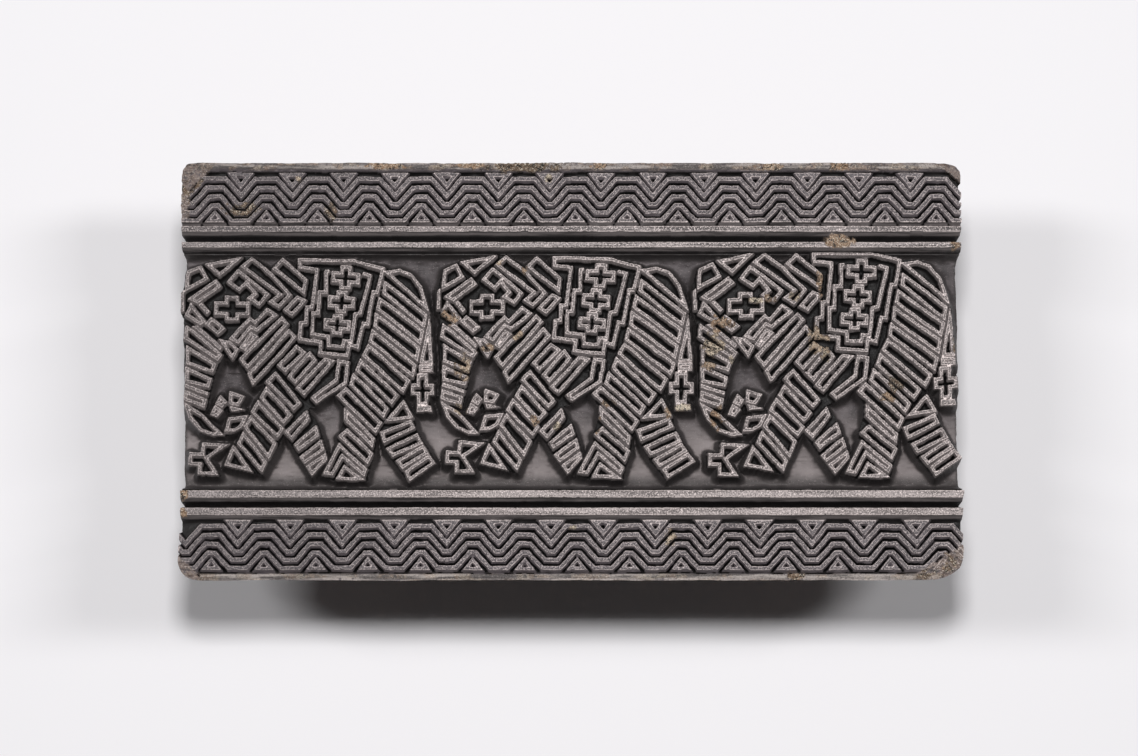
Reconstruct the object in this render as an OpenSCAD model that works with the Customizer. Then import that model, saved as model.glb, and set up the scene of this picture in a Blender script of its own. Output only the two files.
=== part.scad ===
// Wooden block for printing a border of walking elephants on cloth.
// The block lies on its grip bar with the carved face up; X runs along the border.

/* [Block] */
// Length of the carved face along the border
block_l = 202; // [182:1:222]
// Width of the carved face across the border
block_w = 108; // [98:1:118]
// Thickness of the wood left behind the carved ground
plank_t = 16; // [14:1:24]
// How far the sides slope in from the carved ground to the back
side_slope = 3; // [1:0.5:5]
// How far the carved ground stops short of the ends of the lines
edge_inset = 1; // [0.5:0.1:1.5]

/* [Carving] */
// Depth of the open ground below the printing plane
ground_depth = 8; // [6:0.5:11]
// Depth of the cuts between the lines
cut_depth = 2.5; // [1.5:0.1:4]
// Width of a line inside an elephant
line_w = 0.7; // [0.5:0.05:0.7]
// Width of a zigzag line in a border
border_line_w = 1.2; // [0.9:0.05:1.4]
// Width of an upper rail at the printing plane
rail_w = 1.6; // [1.2:0.1:1.8]
// Width of a lower rail at the printing plane
lower_rail_w = 2.1; // [1.5:0.1:2.3]
// Width of the rim along each long edge
rim_w = 1.4; // [1:0.1:1.6]
// Flat left between a rim and the edge
rim_flat = 0.55; // [0.4:0.05:0.6]
// How far a rail widens on each side down to the ground
rail_flare = 0.3; // [0.1:0.05:0.35]

/* [Grip] */
// Length of the grip bar
bar_l = 150; // [130:1:170]
// Width of the grip bar
bar_w = 32; // [28:1:40]
// Thickness of the grip bar
bar_t = 18; // [14:1:24]
// How much is taken off each long edge of the bar
bar_chamfer = 3; // [1:0.5:3]
// Room for the fingers between the bar and the back of the plank
finger_gap = 22; // [18:1:30]
// Width of a cleat along the block
cleat_w = 24; // [18:1:30]
// Length of a cleat across the block
cleat_l = 84; // [76:1:90]
// Distance from the middle of the block to the middle of a cleat
cleat_x = 55; // [45:1:62]
// Depth of the trench in the plank and of the notch in the bar that take a cleat
housing_d = 3; // [2:0.5:5]
// Play at each side of a housed cleat
housing_play = 0.1; // [0.05:0.05:0.3]

/* [Nails] */
// Diameter of a nail shank
shank_d = 3.2; // [2.5:0.1:4]
// Diameter of a nail head
head_d = 6.4; // [5.5:0.1:8]
// Thickness of a nail head
head_t = 1.4; // [1:0.1:2]
// Depth of a nail head below the wood
head_sink = 0.4; // [0.2:0.1:0.8]
// Play round a nail in its hole
nail_play = 0.05; // [0.05:0.05:0.2]

/* [Hidden] */
$fn = 32;

// Colours of the stained face wood, the bare back wood and the nails.
stained_wood = [0.20, 0.18, 0.17];
handled_wood = [0.33, 0.23, 0.16];
iron = [0.30, 0.27, 0.25];

// Heights of the levels, from the bar's outer face upward.
back_z = bar_t + finger_gap;
ground_z = back_z + plank_t;
face_z = ground_z + ground_depth;
bed_z = face_z - cut_depth;
cleat_z = bar_t - housing_d;
cleat_t = finger_gap + 2 * housing_d;
// Room for a cleat in its trench and its notch.
trench_w = cleat_w + 2 * housing_play;
trench_l = cleat_l + 2 * housing_play;

// Overlap that joins the raised carving to the wood below it.
root = 0.5;
// Extra reach of a cutter past the face it cuts.
past = 1;

// Distances from the upper edge to the foot of its zigzag band, its rail and its inner rail.
upper_foot_in = 15.8;
upper_rail_in = 17.3;
upper_inner_in = 21.4;
// Distances from the lower edge to the foot of its zigzag band, its rail and its inner rail.
lower_foot_in = 2.7;
lower_rail_in = 17.9;
lower_inner_in = 22.4;
// Heights on the face that follow, from the middle of the block.
edge_y = block_w / 2;
rim_y = edge_y - rim_flat - rim_w / 2;
upper_inner_y = edge_y - upper_inner_in;
lower_inner_y = lower_inner_in - edge_y;

// The drawing of one elephant: its length with the gap to the next, and the height between the inner rails.
elephant_count = 3;
drawn_stride = 67.33;
drawn_h = 64.2;
// Stretch of the drawing to the room that the block gives it; the lines never grow, only shrink.
along = block_l / elephant_count / drawn_stride;
across = (upper_inner_y - lower_inner_y) / drawn_h;
fine_w = line_w * min(1, along, across);

// Left-hand unit normal of the step from a to b.
function normal(a, b) = [a.y - b.y, b.x - a.x] / norm(b - a);
// Shift of the corner q between p and r that moves both of its sides by one unit to the left.
function mitre(p, q, r) =
    let (n = normal(p, q), m = normal(q, r))
    (n + m) / (1 + n * m);
function area(points) = [for (i = [0 : len(points) - 1])
    cross(points[i], points[(i + 1) % len(points)])] * [for (p = points) 0.5];
// The outline moved inward by the same distance on every side.
function inset(points, distance) =
    let (count = len(points), side = sign(area(points)) * distance)
    [for (i = [0 : count - 1])
        points[i] + side * mitre(points[(i + count - 1) % count], points[i], points[(i + 1) % count])];
// The outline of a band of the given width along an open path.
function band(path, width) =
    let (
        last = len(path) - 1,
        shift = [for (i = [0 : last])
            i == 0 ? normal(path[0], path[1])
            : i == last ? normal(path[last - 1], path[last])
            : mitre(path[i - 1], path[i], path[i + 1])]
    )
    concat(
        [for (i = [0 : last]) path[i] + shift[i] * width / 2],
        [for (i = [last : -1 : 0]) path[i] - shift[i] * width / 2]
    );

// Outlines of one elephant, set out by hand in millimetres from its lower left corner.
// Cells with a slot cut along the middle, from the forehead round to the tail.
brow = [
    [[1.2, 50.9], [1.8, 56.2], [5.2, 57.7], [7.1, 54.2]],
    [[6.1, 58.2], [15.3, 59.9], [9.8, 54.9]],
    [[1.9, 49.0], [8.9, 54.1], [10.3, 52.4], [4.3, 47.9]],
    [[1.3, 45.0], [2.6, 48.1], [6.3, 43.4], [5.0, 42.4]]
];
crown = [
    [[11.6, 53.5], [14.3, 56.8], [22.3, 50.3], [19.9, 47.3], [16.7, 49.3], [18.3, 50.4], [16.4, 52.7],
        [14.9, 51.1]],
    [[14.9, 57.5], [17.9, 59.9], [22.7, 56.1], [28.2, 50.2], [24.8, 46.6], [22.3, 48.4], [24.6, 50.3]],
    [[23.0, 57.0], [25.7, 59.7], [32.0, 54.0], [31.5, 50.2]],
    [[26.0, 46.2], [28.2, 44.7], [31.9, 48.9], [29.6, 49.9]]
];
cheek = [
    [[6.2, 42.6], [7.7, 44.4], [11.2, 41.4], [9.3, 39.9]],
    [[12.1, 38.8], [17.5, 44.4], [18.6, 43.3], [21.9, 46.8], [24.6, 44.9], [19.2, 40.6], [17.7, 41.4],
        [14.6, 37.6]],
    [[14.9, 36.6], [17.7, 40.6], [19.5, 39.5], [16.2, 35.8]],
    [[9.6, 38.8], [12.4, 38.2], [14.6, 36.2], [13.1, 33.4]]
];
shoulder = [
    [[14.8, 33.7], [25.7, 44.6], [27.4, 42.7], [16.9, 31.0]],
    [[17.0, 29.9], [27.5, 41.3], [29.4, 39.2], [18.4, 26.9]],
    [[24.5, 32.0], [29.4, 37.2], [31.9, 35.4], [26.5, 30.0]],
    [[27.1, 29.1], [32.8, 35.6], [34.6, 33.2], [29.0, 27.0]],
    [[29.2, 26.0], [36.6, 33.8], [39.4, 33.2], [31.4, 24.2]],
    [[33.2, 23.8], [39.4, 28.4], [40.2, 33.4], [43.2, 32.9], [42.4, 27.2], [34.7, 22.2]]
];
flank = [
    [[52.4, 56.3], [56.6, 56.9], [59.8, 55.6], [62.6, 52.2], [64.6, 45.6]],
    [[52.5, 53.9], [64.0, 45.0], [63.2, 41.4], [52.0, 50.7]],
    [[51.2, 49.7], [63.1, 40.8], [62.3, 37.2], [50.4, 46.4]],
    [[50.1, 45.6], [62.2, 36.5], [61.5, 32.9], [49.5, 42.0]],
    [[49.1, 41.3], [61.3, 32.0], [60.2, 28.8], [48.3, 38.1]],
    [[48.1, 37.4], [59.4, 28.0], [57.6, 24.9], [46.5, 34.4]],
    [[46.1, 33.6], [56.4, 24.3], [54.5, 21.8], [44.9, 30.7]],
    [[44.2, 30.0], [53.6, 20.9], [52.2, 18.5], [43.2, 26.8]]
];
hind_leg = [
    [[42.3, 26.3], [51.8, 17.2], [50.2, 14.4], [40.0, 24.2]],
    [[42.0, 21.0], [49.9, 13.2], [49.4, 10.8], [41.9, 17.8]],
    [[40.4, 13.8], [42.6, 15.6], [49.6, 9.4], [48.2, 6.6]],
    [[36.3, 3.9], [40.6, 11.9], [48.1, 5.3], [47.2, 3.3], [41.6, 8.2], [38.9, 3.5]],
    [[39.8, 2.6], [42.0, 6.4], [47.4, 2.3]]
];
far_hind_leg = [
    [[52.6, 17.6], [57.8, 23.0], [60.4, 18.4]],
    [[51.4, 14.8], [59.8, 17.9], [60.8, 15.6], [52.4, 11.9]],
    [[53.2, 10.6], [61.5, 14.4], [62.9, 11.8], [54.8, 8.3]],
    [[55.6, 7.3], [63.0, 11.4], [64.4, 9.3], [57.3, 5.2]],
    [[58.0, 4.6], [64.6, 8.9], [66.4, 6.6], [59.4, 2.3]]
];
front_leg = [
    [[21.6, 27.7], [24.0, 30.3], [30.6, 22.3], [28.8, 20.4]],
    [[20.1, 23.6], [21.8, 26.4], [28.3, 19.3], [26.3, 16.9]],
    [[17.8, 19.9], [19.6, 23.0], [26.5, 15.6], [24.7, 13.2]],
    [[16.1, 16.1], [17.8, 19.0], [24.4, 12.0], [22.5, 7.9]],
    [[14.4, 11.8], [15.9, 14.9], [22.0, 7.2], [20.8, 4.4]],
    [[11.3, 6.2], [13.4, 11.4], [18.3, 4.6]]
];
far_front_leg = [
    [[26.5, 14.6], [32.1, 20.5], [32.9, 18.2], [28.4, 12.6]],
    [[28.9, 11.6], [34.6, 16.5], [35.4, 13.8], [30.0, 9.9]],
    [[30.2, 8.3], [35.9, 12.8], [36.7, 10.2], [31.6, 6.5]],
    [[32.0, 5.8], [37.0, 9.3], [37.4, 7.5], [33.6, 3.6]]
];
trunk = [
    [[1.0, 38.8], [1.7, 42.4], [10.5, 34.8], [9.4, 33.2]],
    [[1.6, 32.4], [1.7, 37.0], [9.0, 32.4], [8.2, 30.0]],
    [[1.4, 27.6], [1.5, 31.6], [8.0, 28.6], [7.4, 26.2]],
    [[1.1, 22.9], [1.3, 25.4], [6.7, 23.2], [6.2, 21.0]],
    [[1.1, 22.3], [2.5, 18.2], [5.2, 15.1], [8.2, 13.9], [10.9, 14.0], [5.6, 19.4]],
    [[11.2, 14.9], [12.2, 18.5], [17.1, 19.1], [15.6, 16.0], [13.6, 14.9]]
];
flower = [
    [[12.2, 22.0], [12.4, 25.4], [16.2, 24.0], [14.6, 21.6]],
    [[9.0, 22.0], [10.2, 24.3], [11.8, 22.6], [10.7, 21.1]],
    [[7.7, 19.2], [8.8, 21.6], [10.8, 20.3], [9.4, 18.6]]
];
shrub = [
    [[2.5, 6.3], [2.6, 9.6], [5.6, 9.4], [5.8, 12.1], [12.4, 11.6], [7.2, 8.0], [9.7, 3.8], [4.7, 3.9],
        [4.9, 6.3]]
];
tail = [
    [[62.2, 32.4], [64.6, 44.6], [65.6, 32.4]],
    [[62.0, 30.1], [62.0, 32.0], [65.6, 32.0], [65.6, 30.1]]
];
cells = concat(brow, crown, cheek, shoulder, flank, hind_leg, far_hind_leg,
    front_leg, far_front_leg, trunk, flower, shrub, tail);

// Crosses: centre, half width, half height, half width of an arm and lean in degrees.
head_cross = [[12.9, 46.7], 4.4, 3.2, 1.7, 0];
blanket_crosses = [
    [[42.1, 54.6], 3.7, 3.0, 1.4, -4],
    [[41.0, 48.3], 3.5, 2.8, 1.4, -4],
    [[39.9, 42.5], 3.4, 2.6, 1.3, -4]
];
tail_cross = [[62.8, 25.7], 3.0, 4.0, 1.4, 0];

// Plain ridges without a slot.
ridges = [
    [[0.1, 45.9], [0.2, 50.5], [0.8, 51.2], [0.9, 46.0]],
    [[4.6, 47.5], [5.4, 48.0], [7.3, 45.8], [6.6, 45.1]],
    [[3.2, 42.0], [4.4, 42.2], [10.5, 36.7], [10.0, 36.0]],
    [[1.3, 26.2], [1.4, 27.0], [7.2, 24.9], [7.0, 24.2]],
    [[12.6, 21.4], [16.2, 20.6], [13.0, 20.2]],
    [[61.3, 20.0], [61.5, 21.4], [65.0, 21.4], [65.3, 20.0]]
];

// The saddle blanket: a stepped outer ring and a stepped inner line.
blanket_ring = [
    [29.7, 59.6], [45.0, 59.2], [52.5, 57.2], [50.9, 50.5], [49.8, 50.6], [48.2, 42.1], [47.0, 42.3],
    [45.5, 36.2], [43.4, 36.9], [43.0, 34.0], [35.0, 34.9], [35.3, 37.6], [29.9, 38.3], [30.0, 43.3],
    [31.4, 43.4], [31.6, 47.3], [33.0, 47.3], [34.2, 56.4], [29.9, 57.0]
];
blanket_line = [
    [37.8, 56.2], [37.0, 56.2], [36.9, 50.7], [35.3, 50.9], [34.9, 45.4], [33.6, 45.4], [33.4, 40.0],
    [37.7, 39.4], [37.8, 37.0], [41.4, 36.7], [41.7, 38.4], [43.6, 38.2], [44.6, 45.2], [46.0, 45.4],
    [48.6, 55.2], [46.6, 55.8]
];

// Raised bed under all of an elephant's lines, walked from the trunk over the back to the feet.
body_bed = [
    [0.7, 22.6], [0.7, 44.7], [-0.1, 45.3], [0.0, 51.0], [1.4, 56.5], [5.1, 58.1], [15.6, 60.3],
    [18.0, 60.3], [22.7, 57.3], [25.7, 60.1], [28.8, 57.4], [29.4, 60.0], [45.2, 59.6], [52.8, 57.5],
    [56.7, 57.3], [60.1, 55.9], [63.0, 52.4], [65.0, 45.4], [66.0, 32.4], [66.0, 29.8], [64.5, 29.8],
    [64.5, 27.4], [66.1, 27.4], [66.1, 24.0], [64.5, 24.0], [65.6, 19.7], [61.0, 19.7], [61.1, 24.0],
    [59.5, 24.0], [59.5, 27.2], [57.9, 24.4], [60.8, 18.3], [61.2, 15.6], [66.9, 6.6], [59.2, 1.7],
    [54.7, 7.0], [50.9, 14.6], [50.4, 13.0], [50.0, 9.3], [48.6, 5.1], [47.9, 1.9], [39.2, 2.2],
    [35.9, 3.5], [40.2, 11.8], [40.0, 13.7], [41.5, 17.8], [41.6, 21.0], [39.5, 24.2], [41.4, 26.3],
    [34.7, 21.8], [32.4, 21.0], [35.2, 16.6], [37.5, 9.4], [37.5, 7.4], [33.5, 3.0], [26.3, 14.0],
    [22.5, 7.2], [20.9, 3.9], [18.4, 4.2], [10.9, 5.9], [13.3, 11.8], [15.4, 15.5], [13.7, 14.5],
    [11.0, 13.6], [8.2, 13.5], [5.0, 14.8], [2.1, 18.1]
];
// Open ground between the curled trunk and the front leg.
trunk_void = [
    [10.7, 34.4], [8.7, 30.0], [7.0, 21.2], [5.9, 19.8], [11.0, 14.6], [12.0, 18.9], [17.2, 19.5],
    [17.6, 20.2], [19.8, 24.2], [21.2, 27.6], [18.2, 26.5], [14.4, 33.6], [13.1, 33.0]
];
flower_bed = [
    [7.3, 19.0], [8.5, 22.0], [10.1, 24.8], [11.8, 23.3], [12.1, 25.8], [16.6, 24.2], [15.0, 21.3],
    [16.6, 20.2], [12.5, 19.9], [11.2, 20.2], [9.5, 18.2]
];
shrub_bed = [
    [2.1, 5.9], [2.2, 10.0], [5.2, 9.8], [5.4, 12.5], [12.6, 11.9], [12.6, 11.3], [7.7, 8.0], [10.4, 3.4],
    [4.3, 3.5], [4.5, 5.9]
];

// Where each elephant stands in its own third of the field: its corner, stretch along and across the border,
// lean, rise and how far its middle swells forward.
stands = [
    [0.4, 1.1, 0.99, 1.00, 0, 0, 0.9],
    [-0.93, 1.6, 1.00, 1.00, 0, 0, 0],
    [-1.07, 0.6, 1.02, 1.02, -0.03, 0.028, 0.8]
];
function stood(points, n) =
    let (s = stands[n], start = block_l * (n / elephant_count - 0.5))
    [for (p = points)
        let (u = p.x / drawn_stride, swell = s[6] * 4 * u * (1 - u))
        [
            start + along * (s[0] + s[2] * p.x + s[4] * p.y + swell),
            lower_inner_y + across * (s[1] + s[3] * p.y + s[5] * p.x)
        ]];

// Corners of a cross, from its centre, half sizes, arm and lean.
function cross_outline(c) =
    let (w = c[1], h = c[2], a = c[3], ca = cos(c[4]), sa = sin(c[4]))
    [for (p = [[-a, -h], [a, -h], [a, -a], [w, -a], [w, a], [a, a],
        [a, h], [-a, h], [-a, a], [-w, a], [-w, -a], [-a, -a]])
        c[0] + [p.x * ca - p.y * sa, p.x * sa + p.y * ca]];

// How many triangle pitches the block is long, for each zigzag band.
upper_pitches = 15.22;
lower_pitches = 15.12;
// Zigzag bands: foot, pitch and how many pitches the first hanging triangle is from the left end.
upper_border = [edge_y - upper_foot_in, block_l / upper_pitches, 1.19];
lower_border = [lower_foot_in - edge_y, block_l / lower_pitches, 1.17];
hanging_count = 14;
wave_count = 4;
// Heights in a band: first crest, first trough, steps from wave to wave and the triangle tips.
crest_y = 11.5;
crest_step = 2.3;
trough_y = 7.0;
trough_step = 2.1;
crest_half = 2.8;
crest_half_step = 0.67;
trough_half_step = 0.77;
hanging = [3.6, 13.1, 8.6];
standing = [2.8, 0.1, 3.6];
border_bed_h = 13.25;
border_sill = 0.2;
// Width of the lines round the standing triangles, as a share of the border's line width.
standing_line = 0.8;

// How much is cut off each corner, from the lower left one round to the upper left one.
corner_cut = [5, 6, 4.5, 4];
// Rails and rims: middle line across the border, width and how far they stop short of the ends.
rails = [
    [edge_y - upper_rail_in, rail_w, 0],
    [upper_inner_y, rail_w, 0],
    [lower_inner_y, lower_rail_w, 0],
    [lower_rail_in - edge_y, lower_rail_w, 0],
    [rim_y, rim_w, max(corner_cut[2], corner_cut[3])],
    [-rim_y, rim_w, max(corner_cut[0], corner_cut[1])]
];

// Corners of the face, cut off at each corner of the block.
function cut_corners(half_l, half_w) =
    let (c = corner_cut)
    [
        [-half_l + c[0], -half_w], [half_l - c[1], -half_w], [half_l, -half_w + c[1]],
        [half_l, half_w - c[2]], [half_l - c[2], half_w], [-half_l + c[3], half_w],
        [-half_l, half_w - c[3]], [-half_l, -half_w + c[0]]
    ];

// A solid piece of carving from one level up to another.
module raised(outline, low, high) {
    translate([0, 0, low - root])
        linear_extrude(high - low + root)
            polygon(outline);
}

// The same, trimmed to the block's outline.
module trimmed(outline, low, high) {
    translate([0, 0, low - root])
        linear_extrude(high - low + root)
            intersection() {
                polygon(outline);
                polygon(cut_corners((block_l - edge_inset) / 2, block_w / 2));
            }
}

// The same with an opening inside.
module pierced(outline, opening, low, high) {
    first = len(outline);
    last = first + len(opening) - 1;
    translate([0, 0, low - root])
        linear_extrude(high - low + root)
            polygon(
                concat(outline, opening),
                [[for (i = [0 : first - 1]) i], [for (i = [first : last]) i]]
            );
}

// A carved cell: a line round its outline and a slot inside.
module cell(outline, width) {
    pierced(outline, inset(outline, width), bed_z, face_z);
}

module elephant(n) {
    pierced(stood(body_bed, n), stood(trunk_void, n), ground_z, bed_z);
    raised(stood(flower_bed, n), ground_z, bed_z);
    raised(stood(shrub_bed, n), ground_z, bed_z);
    for (outline = cells) {
        cell(stood(outline, n), fine_w);
    }
    for (c = concat([head_cross], blanket_crosses, [tail_cross])) {
        cell(stood(cross_outline(c), n), fine_w);
    }
    for (outline = ridges) {
        raised(stood(outline, n), bed_z, face_z);
    }
    cell(stood(blanket_ring, n), fine_w);
    raised(stood(band(blanket_line, fine_w), n), bed_z, face_z);
}

// Middle of the hanging triangle with number n; a half number is a standing triangle's.
function triangle_x(border, n) = -block_l / 2 + (border[2] + n) * border[1];

// One wave of a border as a path that runs past both ends of the block.
function wave(border, k) =
    let (
        crest = border[0] + crest_y - k * crest_step,
        trough = border[0] + trough_y - k * trough_step,
        ch = crest_half - k * crest_half_step,
        th = k * trough_half_step
    )
    [for (n = [-1 : hanging_count + 1])
        let (x = triangle_x(border, n - 0.5), dip = triangle_x(border, n))
        each concat(
            [[x - ch, crest], [x + ch, crest]],
            k == 0 ? [[dip, trough]] : [[dip - th, trough], [dip + th, trough]]
        )];

function triangle(x, foot, shape) =
    [[x - shape[0], foot + shape[1]], [x + shape[0], foot + shape[1]], [x, foot + shape[2]]];

module border(border) {
    foot = border[0];
    low = foot - border_sill;
    high = foot + border_bed_h;
    trimmed([[-block_l, low], [block_l, low], [block_l, high], [-block_l, high]], ground_z, bed_z);
    for (k = [0 : wave_count - 1]) {
        trimmed(band(wave(border, k), border_line_w), bed_z, face_z);
    }
    for (n = [0 : hanging_count - 1]) {
        cell(triangle(triangle_x(border, n), foot, hanging), border_line_w);
    }
    for (n = [0 : hanging_count]) {
        cell(triangle(triangle_x(border, n - 0.5), foot, standing), border_line_w * standing_line);
    }
}

// A straight rail with flared sides.
module rail(y, width, short) {
    half = block_l / 2 - short;
    top = width / 2;
    bottom = top + rail_flare;
    translate([-half, y, 0])
        rotate([90, 0, 90])
            linear_extrude(2 * half)
                polygon([
                    [-bottom, ground_z - root], [bottom, ground_z - root], [top, face_z], [-top, face_z]
                ]);
}

// The plank behind the carving, with sloping sides.
module plank_body() {
    half_l = block_l / 2 - edge_inset;
    half_w = block_w / 2;
    intersection() {
        translate([0, 0, back_z])
            linear_extrude(plank_t)
                polygon(cut_corners(half_l, half_w));
        translate([0, block_w, 0])
            rotate([90, 0, 0])
                linear_extrude(2 * block_w)
                    polygon([[-half_l + side_slope, back_z], [half_l - side_slope, back_z],
                        [half_l, ground_z], [-half_l, ground_z]]);
        translate([-block_l, 0, 0])
            rotate([90, 0, 90])
                linear_extrude(2 * block_l)
                    polygon([[-half_w + side_slope, back_z], [half_w - side_slope, back_z],
                        [half_w, ground_z], [-half_w, ground_z]]);
    }
}

// Nail places: four through the bar into the cleats and four through the cleats into the plank.
bar_nail_y = bar_w / 4;
cleat_nail_y = (cleat_l + bar_w) / 4;
places = [[-1, -1], [1, -1], [-1, 1], [1, 1]];
// How far the points go in: a share of the finger gap and a share of the plank.
bar_nail_bite = 0.8;
cleat_nail_bite = 0.5;
bar_nail_len = bar_t + finger_gap * bar_nail_bite;
cleat_nail_len = cleat_t + plank_t * cleat_nail_bite;
function bar_nail_at(n) = [places[n].x * cleat_x, places[n].y * bar_nail_y, head_sink];
function cleat_nail_at(n) = [places[n].x * cleat_x, places[n].y * cleat_nail_y, cleat_z + head_sink];

// A nail with its head down, or the hole for it when play is given.
module nail(at, length, play = 0) {
    translate(at) {
        translate([0, 0, play > 0 ? -head_sink - past : 0])
            cylinder(h = head_t + (play > 0 ? head_sink + past : 0), d = head_d + 2 * play);
        cylinder(h = length + play, d = shank_d + 2 * play);
    }
}

module carved_plank() {
    color(stained_wood) {
        difference() {
            plank_body();
            for (side = [-1, 1]) {
                translate([side * cleat_x - trench_w / 2, -trench_l / 2, back_z - past])
                    cube([trench_w, trench_l, housing_d + past]);
            }
            for (n = [0 : 3]) {
                nail(cleat_nail_at(n), cleat_nail_len, nail_play);
            }
        }
        for (r = rails) {
            rail(r[0], r[1], r[2]);
        }
        border(upper_border);
        border(lower_border);
        for (n = [0 : elephant_count - 1]) {
            elephant(n);
        }
    }
}

// A cleat across the grain of the plank, housed in its back.
module cleat(side) {
    color(handled_wood)
        difference() {
            translate([side * cleat_x - cleat_w / 2, -cleat_l / 2, cleat_z])
                cube([cleat_w, cleat_l, cleat_t]);
            for (n = [0 : 3]) {
                nail(bar_nail_at(n), bar_nail_len, nail_play);
                nail(cleat_nail_at(n), cleat_nail_len, nail_play);
            }
        }
}

module left_cleat() {
    cleat(-1);
}

module right_cleat() {
    cleat(1);
}

// Section of the bar, with its four long edges taken off.
bar_half = bar_w / 2;
bar_flat = bar_half - bar_chamfer;
bar_section = [
    [-bar_flat, 0], [bar_flat, 0], [bar_half, bar_chamfer], [bar_half, bar_t - bar_chamfer],
    [bar_flat, bar_t], [-bar_flat, bar_t], [-bar_half, bar_t - bar_chamfer], [-bar_half, bar_chamfer]
];

// The bar that the hand holds, notched over both cleats.
module grip_bar() {
    color(handled_wood)
        difference() {
            translate([-bar_l / 2, 0, 0])
                rotate([90, 0, 90])
                    linear_extrude(bar_l)
                        polygon(bar_section);
            for (side = [-1, 1]) {
                translate([side * cleat_x - trench_w / 2, -bar_w, cleat_z])
                    cube([trench_w, 2 * bar_w, housing_d + past]);
            }
            for (n = [0 : 3]) {
                nail(bar_nail_at(n), bar_nail_len, nail_play);
            }
        }
}

module bar_nail_1() {
    color(iron) nail(bar_nail_at(0), bar_nail_len);
}

module bar_nail_2() {
    color(iron) nail(bar_nail_at(1), bar_nail_len);
}

module bar_nail_3() {
    color(iron) nail(bar_nail_at(2), bar_nail_len);
}

module bar_nail_4() {
    color(iron) nail(bar_nail_at(3), bar_nail_len);
}

module cleat_nail_1() {
    color(iron) nail(cleat_nail_at(0), cleat_nail_len);
}

module cleat_nail_2() {
    color(iron) nail(cleat_nail_at(1), cleat_nail_len);
}

module cleat_nail_3() {
    color(iron) nail(cleat_nail_at(2), cleat_nail_len);
}

module cleat_nail_4() {
    color(iron) nail(cleat_nail_at(3), cleat_nail_len);
}

carved_plank();
left_cleat();
right_cleat();
grip_bar();
bar_nail_1();
bar_nail_2();
bar_nail_3();
bar_nail_4();
cleat_nail_1();
cleat_nail_2();
cleat_nail_3();
cleat_nail_4();
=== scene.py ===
# %% [markdown]
# # A carved wooden block for printing cloth
#
# The block is a plank whose face is cut into a border of walking elephants. Behind it are two
# cleats and a grip bar, held with iron nails. This lesson dresses the measured solids: first the
# camera and the light, then the carving, then the pieces behind it, and the finishes last.

# %% Load the frame
import math
import bpy
import numpy as np
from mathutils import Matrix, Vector, kdtree
from mathutils.bvhtree import BVHTree


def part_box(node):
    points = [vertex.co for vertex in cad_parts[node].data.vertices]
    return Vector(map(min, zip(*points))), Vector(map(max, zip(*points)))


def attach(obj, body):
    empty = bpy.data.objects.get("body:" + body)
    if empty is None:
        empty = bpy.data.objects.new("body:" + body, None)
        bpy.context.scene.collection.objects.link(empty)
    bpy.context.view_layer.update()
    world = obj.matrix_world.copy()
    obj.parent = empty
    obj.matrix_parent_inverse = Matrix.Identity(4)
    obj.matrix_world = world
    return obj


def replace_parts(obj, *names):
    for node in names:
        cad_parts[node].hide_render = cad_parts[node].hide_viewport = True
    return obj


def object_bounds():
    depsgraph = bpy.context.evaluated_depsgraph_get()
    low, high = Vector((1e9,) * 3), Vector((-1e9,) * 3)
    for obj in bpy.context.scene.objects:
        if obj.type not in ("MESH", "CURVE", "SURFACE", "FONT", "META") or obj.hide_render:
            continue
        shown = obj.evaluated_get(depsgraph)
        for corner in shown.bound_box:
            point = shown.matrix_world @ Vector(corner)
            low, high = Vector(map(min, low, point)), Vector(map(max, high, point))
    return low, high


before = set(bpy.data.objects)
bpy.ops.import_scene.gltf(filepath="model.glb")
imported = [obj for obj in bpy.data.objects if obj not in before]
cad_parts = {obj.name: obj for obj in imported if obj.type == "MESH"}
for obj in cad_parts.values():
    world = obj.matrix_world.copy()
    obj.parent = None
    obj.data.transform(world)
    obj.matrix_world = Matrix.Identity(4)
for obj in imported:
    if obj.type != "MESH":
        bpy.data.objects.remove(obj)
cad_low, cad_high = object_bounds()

MM = 0.001
print("solids:", len(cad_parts), "box:", [round(v / MM, 1) for v in cad_high - cad_low], "mm")

# %% [markdown]
# ## Camera
#
# The photograph looks almost straight down on the carved face, from a little below it in the
# picture, so that the lower wall of every line shows. A long lens about a metre away keeps the
# long edges parallel. The camera aims at the middle of the picture on the printing plane.

# %% Camera
photo_w = 1138
mm_per_pixel = 0.2566
camera_distance = 1150 * MM
camera_tilt = math.radians(5)
aim = Vector((-0.6 * MM, -1.9 * MM, cad_high.z))

camera_data = bpy.data.cameras.new("camera")
camera = bpy.data.objects.new("camera", camera_data)
bpy.context.scene.collection.objects.link(camera)
camera_data.sensor_width = 36
camera_data.lens = camera_data.sensor_width * camera_distance / (photo_w * mm_per_pixel * MM)
camera.location = aim + camera_distance * Vector((0, -math.sin(camera_tilt), math.cos(camera_tilt)))
camera.rotation_euler = (camera_tilt, 0, 0)
bpy.context.scene.camera = camera
bpy.context.scene.view_settings.view_transform = "Standard"
print("lens:", round(camera_data.lens), "mm")

# %% [markdown]
# ## Floor
#
# The block lies on its grip bar on pale paper, which is a large plane under it.


# %% Floor
def new_finish(name):
    """A new material and its surface shader."""
    finish = bpy.data.materials.new(name)
    finish.use_nodes = True
    return finish, finish.node_tree.nodes["Principled BSDF"]


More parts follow.
